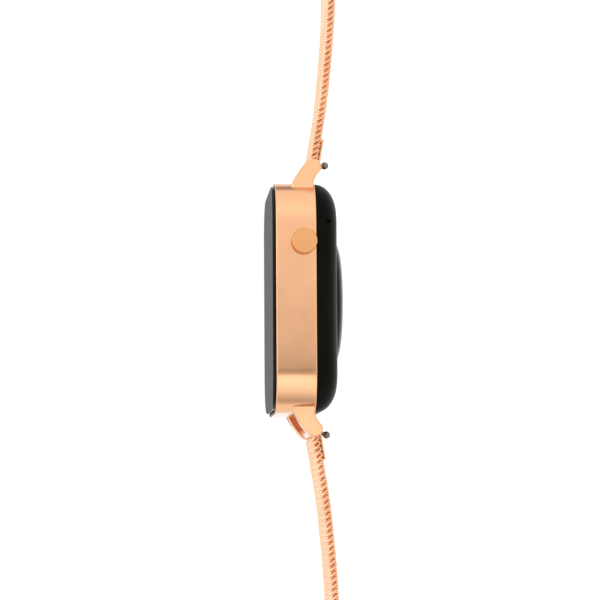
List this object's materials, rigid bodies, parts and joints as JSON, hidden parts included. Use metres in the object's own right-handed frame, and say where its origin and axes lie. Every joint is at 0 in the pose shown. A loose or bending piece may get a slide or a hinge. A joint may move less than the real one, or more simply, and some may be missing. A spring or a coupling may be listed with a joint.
{
  "type": "smartwatch",
  "caption": "Rectangular smartwatch with a turning, pressable crown, sprung quick-release bars and an open woven metal mesh strap that bends and has a sliding fold-over clasp.",
  "frame": {"origin": "centre of the sensor window's flat face on the back, which rests on the table plane", "axes": "+Z out of the display, +Y towards 12 o'clock along the strap, +X towards the crown"},
  "size_m": [0.0383, 0.2469, 0.0137],
  "materials": {
    "rose_case": "satin rose gold",
    "rose_steel": "polished rose gold plate",
    "rose_mesh": "woven rose gold wire",
    "display_glass": "polished black-backed glass",
    "sensor_glass": "polished dark glass",
    "black_plastic": "fine satin",
    "steel": "plain steel",
    "rubber": "soft",
    "board": "solder mask",
    "flex": "amber film",
    "cell": "foil pouch",
    "copper": "enamelled winding"
  },
  "bodies": {
    "case": {"case_frame": "rose_case", "glass_seal": "rubber", "display_glass": "display_glass", "back_cover": "black_plastic", "back_seal": "rubber", "sensor_window": "sensor_glass", "display_panel": "black_plastic", "display_flex": "flex", "inner_chassis": "steel", "chassis_screw_1": "steel", "chassis_screw_2": "steel", "chassis_screw_3": "steel", "chassis_screw_4": "steel", "main_board": "board", "board_shield": "steel", "battery": "cell", "vibration_motor": "steel", "microphone": "steel", "sensor_board": "board", "charging_coil": "copper", "crown_bushing": "steel", "crown_seal": "rubber", "crown_switch": "black_plastic"},
    "crown_plunger": {"crown_washer": "steel"},
    "crown": {"crown_cap": "rose_case", "crown_stem": "steel"},
    "upper_link": {"upper_end_link": "rose_steel", "upper_spring_bar": "steel", "upper_mesh_1": "rose_mesh"},
    "upper_release": {"upper_release_plunger": "steel"},
    "upper_strap_2": {"upper_mesh_2": "rose_mesh"},
    "upper_strap_3": {"upper_mesh_3": "rose_mesh"},
    "upper_strap_4": {"upper_mesh_4": "rose_mesh"},
    "upper_strap_5": {"upper_mesh_5": "rose_mesh", "upper_end_clamp": "rose_steel", "catch_bar": "steel"},
    "lower_link": {"lower_end_link": "rose_steel", "lower_spring_bar": "steel", "lower_mesh_1": "rose_mesh"},
    "lower_release": {"lower_release_plunger": "steel"},
    "lower_strap_2": {"lower_mesh_2": "rose_mesh"},
    "lower_strap_3": {"lower_mesh_3": "rose_mesh"},
    "lower_strap_4": {"lower_mesh_4": "rose_mesh"},
    "lower_strap_5": {"lower_mesh_5": "rose_mesh"},
    "lower_strap_6": {"lower_mesh_6": "rose_mesh", "lower_tip_clamp": "rose_steel"},
    "clasp": {"clasp_body": "rose_steel", "clasp_lock_pin": "steel", "clasp_cover_pin": "steel"},
    "clasp_lock": {"clasp_lock_lever": "rose_steel"},
    "clasp_fold": {"clasp_cover": "rose_steel", "clasp_hook": "steel"}
  },
  "joints": [
    {"name": "crown_press", "type": "slide", "parent": "case", "child": "crown_plunger", "axis": [-1, 0, 0], "range_m": [0, 0.00035], "stiffness_N_per_m": 1000},
    {"name": "crown_turn", "type": "hinge", "parent": "crown_plunger", "child": "crown", "pos_m": [0.018, 0.0099, 0.0079], "axis": [1, 0, 0], "continuous": true},
    {"name": "upper_strap_pivot", "type": "hinge", "parent": "case", "child": "upper_link", "pos_m": [0, 0.0244, 0.00575], "axis": [-1, 0, 0], "range_deg": [-25, 60]},
    {"name": "upper_quick_release", "type": "slide", "parent": "upper_link", "child": "upper_release", "axis": [-1, 0, 0], "range_m": [0, 0.0018], "stiffness_N_per_m": 600},
    {"name": "upper_strap_bend_1", "type": "hinge", "parent": "upper_link", "child": "upper_strap_2", "pos_m": [0, 0.03796, 0.00346], "axis": [-1, 0, 0], "range_deg": [-12, 34]},
    {"name": "upper_strap_bend_2", "type": "hinge", "parent": "upper_strap_2", "child": "upper_strap_3", "pos_m": [0, 0.0527, 0.00212], "axis": [-1, 0, 0], "range_deg": [-12, 34]},
    {"name": "upper_strap_bend_3", "type": "hinge", "parent": "upper_strap_3", "child": "upper_strap_4", "pos_m": [0, 0.06749, 0.00175], "axis": [-1, 0, 0], "range_deg": [-12, 34]},
    {"name": "upper_strap_bend_4", "type": "hinge", "parent": "upper_strap_4", "child": "upper_strap_5", "pos_m": [0, 0.08229, 0.00175], "axis": [-1, 0, 0], "range_deg": [-12, 34]},
    {"name": "lower_strap_pivot", "type": "hinge", "parent": "case", "child": "lower_link", "pos_m": [0, -0.0244, 0.00575], "axis": [1, 0, 0], "range_deg": [-25, 60]},
    {"name": "lower_quick_release", "type": "slide", "parent": "lower_link", "child": "lower_release", "axis": [-1, 0, 0], "range_m": [0, 0.0018], "stiffness_N_per_m": 600},
    {"name": "lower_strap_bend_1", "type": "hinge", "parent": "lower_link", "child": "lower_strap_2", "pos_m": [0, -0.03796, 0.00346], "axis": [1, 0, 0], "range_deg": [-12, 26]},
    {"name": "lower_strap_bend_2", "type": "hinge", "parent": "lower_strap_2", "child": "lower_strap_3", "pos_m": [0, -0.0527, 0.00212], "axis": [1, 0, 0], "range_deg": [-12, 26]},
    {"name": "lower_strap_bend_3", "type": "hinge", "parent": "lower_strap_3", "child": "lower_strap_4", "pos_m": [0, -0.06749, 0.00175], "axis": [1, 0, 0], "range_deg": [-12, 26]},
    {"name": "lower_strap_bend_4", "type": "hinge", "parent": "lower_strap_4", "child": "lower_strap_5", "pos_m": [0, -0.08229, 0.00175], "axis": [1, 0, 0], "range_deg": [-12, 26]},
    {"name": "lower_strap_bend_5", "type": "hinge", "parent": "lower_strap_5", "child": "lower_strap_6", "pos_m": [0, -0.09709, 0.00175], "axis": [1, 0, 0], "range_deg": [-12, 26]},
    {"name": "clasp_slide", "type": "slide", "parent": "lower_strap_6", "child": "clasp", "axis": [0, -1, 0], "range_m": [-0.013, 0.0105]},
    {"name": "clasp_lock_flip", "type": "hinge", "parent": "clasp", "child": "clasp_lock", "pos_m": [0, -0.11499, 0.00443], "axis": [-1, 0, 0], "range_deg": [0, 80]},
    {"name": "clasp_cover_fold", "type": "hinge", "parent": "clasp", "child": "clasp_fold", "pos_m": [0, -0.12749, 0.00443], "axis": [-1, 0, 0], "range_deg": [0, 110]}
  ],
  "couplings": [
    {"joint": "upper_strap_bend_2", "follows": "upper_strap_bend_1", "ratio": 1},
    {"joint": "upper_strap_bend_3", "follows": "upper_strap_bend_1", "ratio": 1},
    {"joint": "upper_strap_bend_4", "follows": "upper_strap_bend_1", "ratio": 1},
    {"joint": "lower_strap_bend_2", "follows": "lower_strap_bend_1", "ratio": 1},
    {"joint": "lower_strap_bend_3", "follows": "lower_strap_bend_1", "ratio": 1},
    {"joint": "lower_strap_bend_4", "follows": "lower_strap_bend_1", "ratio": 1},
    {"joint": "lower_strap_bend_5", "follows": "lower_strap_bend_1", "ratio": 1}
  ]
}
